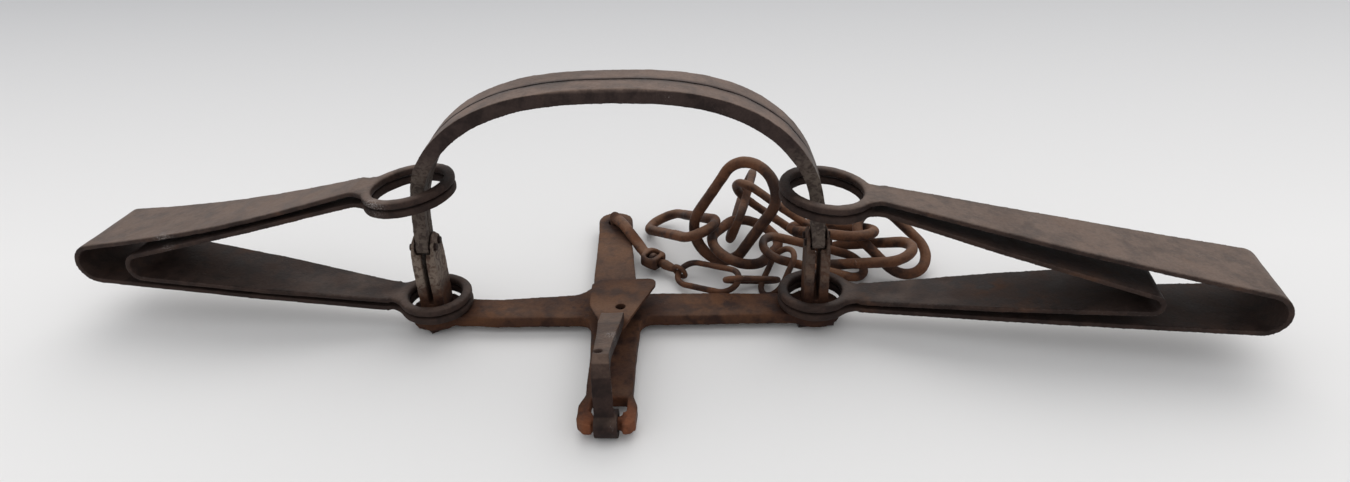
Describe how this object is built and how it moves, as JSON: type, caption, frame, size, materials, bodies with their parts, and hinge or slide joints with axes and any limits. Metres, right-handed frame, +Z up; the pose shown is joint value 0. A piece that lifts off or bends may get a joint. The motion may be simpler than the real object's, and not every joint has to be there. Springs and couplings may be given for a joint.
{
  "type": "spring trap",
  "caption": "Hand-forged iron spring trap, jaws shut: folded leaf springs, forked posts, bowed jaws, dog and pan on a cross-shaped base, with a swivel chain heaped behind.",
  "frame": {"origin": "on the ground under the middle of the base cross, at the foot of the pan post's rivet", "axes": "+X along the base bar to the viewer's right, +Y to the rear, where the chain leaves, +Z up"},
  "size_m": [0.8531, 0.3055, 0.19],
  "materials": {
    "base_iron": "matte rust",
    "dark_iron": "matte",
    "jaw_iron": "satin, worn",
    "spring_steel": "satin, worn",
    "chain_iron": "matte rust"
  },
  "bodies": {
    "frame": {"base_cross": "base_iron", "left_post": "base_iron", "right_post": "base_iron", "left_washer": "dark_iron", "right_washer": "dark_iron", "left_front_pin": "dark_iron", "left_back_pin": "dark_iron", "right_front_pin": "dark_iron", "right_back_pin": "dark_iron", "pan_post": "base_iron", "pan_pin": "dark_iron"},
    "front_jaw": {"front_jaw": "jaw_iron"},
    "back_jaw": {"back_jaw": "jaw_iron"},
    "left_spring": {"left_outer_leaf_lower": "spring_steel", "left_inner_leaf_lower": "spring_steel"},
    "left_spring_top": {"left_outer_leaf_upper": "spring_steel", "left_inner_leaf_upper": "spring_steel"},
    "right_spring": {"right_outer_leaf_lower": "spring_steel", "right_inner_leaf_lower": "spring_steel"},
    "right_spring_top": {"right_outer_leaf_upper": "spring_steel", "right_inner_leaf_upper": "spring_steel"},
    "dog": {"dog": "dark_iron"},
    "pan": {"pan": "base_iron"},
    "shackle": {"shackle": "chain_iron"},
    "swivel_bolt": {"swivel_bolt": "chain_iron"},
    "thin_link_1": {"thin_link_1": "chain_iron"},
    "thin_link_2": {"thin_link_2": "chain_iron"},
    "thin_link_3": {"thin_link_3": "chain_iron"},
    "heavy_link_1": {"heavy_link_1": "chain_iron"},
    "heavy_link_2": {"heavy_link_2": "chain_iron"},
    "heavy_link_3": {"heavy_link_3": "chain_iron"},
    "heavy_link_4": {"heavy_link_4": "chain_iron"},
    "heavy_link_5": {"heavy_link_5": "chain_iron"},
    "heavy_link_6": {"heavy_link_6": "chain_iron"},
    "heavy_link_7": {"heavy_link_7": "chain_iron"},
    "heavy_link_8": {"heavy_link_8": "chain_iron"},
    "heavy_link_9": {"heavy_link_9": "chain_iron"}
  },
  "joints": [
    {"name": "front_jaw_open", "type": "hinge", "parent": "frame", "child": "front_jaw", "pos_m": [0, -0.0052, 0.069], "axis": [1, 0, 0], "range_deg": [0, 80]},
    {"name": "back_jaw_open", "type": "hinge", "parent": "frame", "child": "back_jaw", "pos_m": [0, 0.0052, 0.069], "axis": [1, 0, 0], "range_deg": [-80, 0]},
    {"name": "left_spring_swing", "type": "hinge", "parent": "frame", "child": "left_spring", "pos_m": [-0.14, 0, 0.02], "axis": [0, 0, 1], "range_deg": [-15, 20]},
    {"name": "left_spring_press", "type": "hinge", "parent": "left_spring", "child": "left_spring_top", "pos_m": [-0.3599, 0.02895, 0.052], "axis": [0.1305, 0.9914, 0], "range_deg": [0, 17.8], "stiffness_Nm_per_rad": 60, "springref_deg": -17.19},
    {"name": "right_spring_swing", "type": "hinge", "parent": "frame", "child": "right_spring", "pos_m": [0.14, 0, 0.02], "axis": [0, 0, 1], "range_deg": [-20, 8]},
    {"name": "right_spring_press", "type": "hinge", "parent": "right_spring", "child": "right_spring_top", "pos_m": [0.3599, -0.02895, 0.048], "axis": [-0.1305, -0.9914, 0], "range_deg": [0, 15.4], "stiffness_Nm_per_rad": 60, "springref_deg": -17.19},
    {"name": "dog_swing", "type": "hinge", "parent": "frame", "child": "dog", "pos_m": [0, -0.125, 0.00975], "axis": [1, 0, 0], "range_deg": [0, 85]},
    {"name": "pan_tilt", "type": "hinge", "parent": "frame", "child": "pan", "pos_m": [0, 0, 0.0207], "axis": [1, 0, 0], "range_deg": [0, 12]},
    {"name": "shackle_swing", "type": "hinge", "parent": "frame", "child": "shackle", "pos_m": [-0.018, 0.128, 0.0098], "axis": [0, 0, 1], "range_deg": [0, 60]},
    {"name": "swivel_spin", "type": "hinge", "parent": "shackle", "child": "swivel_bolt", "pos_m": [0.021, 0.069, 0.01], "axis": [0.8059, -0.5855, -0.0872], "range_deg": [-10, 10]},
    {"name": "thin_link_1_roll", "type": "hinge", "parent": "shackle", "child": "thin_link_1", "pos_m": [0.062, 0.042, 0.011], "axis": [0.8525, -0.5122, 0.1045], "range_deg": [-4, 4]},
    {"name": "thin_link_2_roll", "type": "hinge", "parent": "shackle", "child": "thin_link_2", "pos_m": [0.096, 0.034, 0.013], "axis": [0.8848, 0.3756, -0.2756], "range_deg": [-4, 4]},
    {"name": "thin_link_3_roll", "type": "hinge", "parent": "shackle", "child": "thin_link_3", "pos_m": [0.116, 0.039, 0.017], "axis": [0.4287, 0.6861, 0.5878], "range_deg": [-4, 4]},
    {"name": "heavy_link_1_roll", "type": "hinge", "parent": "shackle", "child": "heavy_link_1", "pos_m": [0.146, 0.061, 0.017], "axis": [0.9562, 0.0167, -0.2924], "range_deg": [-4, 4]},
    {"name": "heavy_link_2_roll", "type": "hinge", "parent": "shackle", "child": "heavy_link_2", "pos_m": [0.187, 0.067, 0.016], "axis": [0.8782, -0.391, 0.2756], "range_deg": [-4, 4]},
    {"name": "heavy_link_3_roll", "type": "hinge", "parent": "shackle", "child": "heavy_link_3", "pos_m": [0.209, 0.073, 0.023], "axis": [-0.6634, 0.5567, 0.5], "range_deg": [-4, 4]},
    {"name": "heavy_link_4_roll", "type": "hinge", "parent": "shackle", "child": "heavy_link_4", "pos_m": [0.163, 0.088, 0.026], "axis": [-0.7782, 0.5864, -0.225], "range_deg": [-4, 4]},
    {"name": "heavy_link_5_roll", "type": "hinge", "parent": "shackle", "child": "heavy_link_5", "pos_m": [0.118, 0.118, 0.029], "axis": [-0.8165, 0.3134, 0.4848], "range_deg": [-4, 4]},
    {"name": "heavy_link_6_roll", "type": "hinge", "parent": "shackle", "child": "heavy_link_6", "pos_m": [0.091, 0.13, 0.028], "axis": [-0.2048, -0.9633, -0.1736], "range_deg": [-4, 4]},
    {"name": "heavy_link_7_roll", "type": "hinge", "parent": "shackle", "child": "heavy_link_7", "pos_m": [0.093, 0.085, 0.018], "axis": [0.4677, 0.8796, -0.0872], "range_deg": [-4, 4]},
    {"name": "heavy_link_8_roll", "type": "hinge", "parent": "shackle", "child": "heavy_link_8", "pos_m": [0.083, 0.072, 0.052], "axis": [0.4997, -0.1246, 0.8572], "range_deg": [-4, 4]},
    {"name": "heavy_link_9_roll", "type": "hinge", "parent": "shackle", "child": "heavy_link_9", "pos_m": [0.04, 0.107, 0.022], "axis": [0.484, -0.8055, 0.342], "range_deg": [-4, 4]}
  ],
  "couplings": [
    {"joint": "back_jaw_open", "follows": "front_jaw_open", "ratio": -1},
    {"joint": "left_spring_press", "follows": "front_jaw_open", "ratio": 0.222},
    {"joint": "right_spring_press", "follows": "front_jaw_open", "ratio": 0.19}
  ]
}
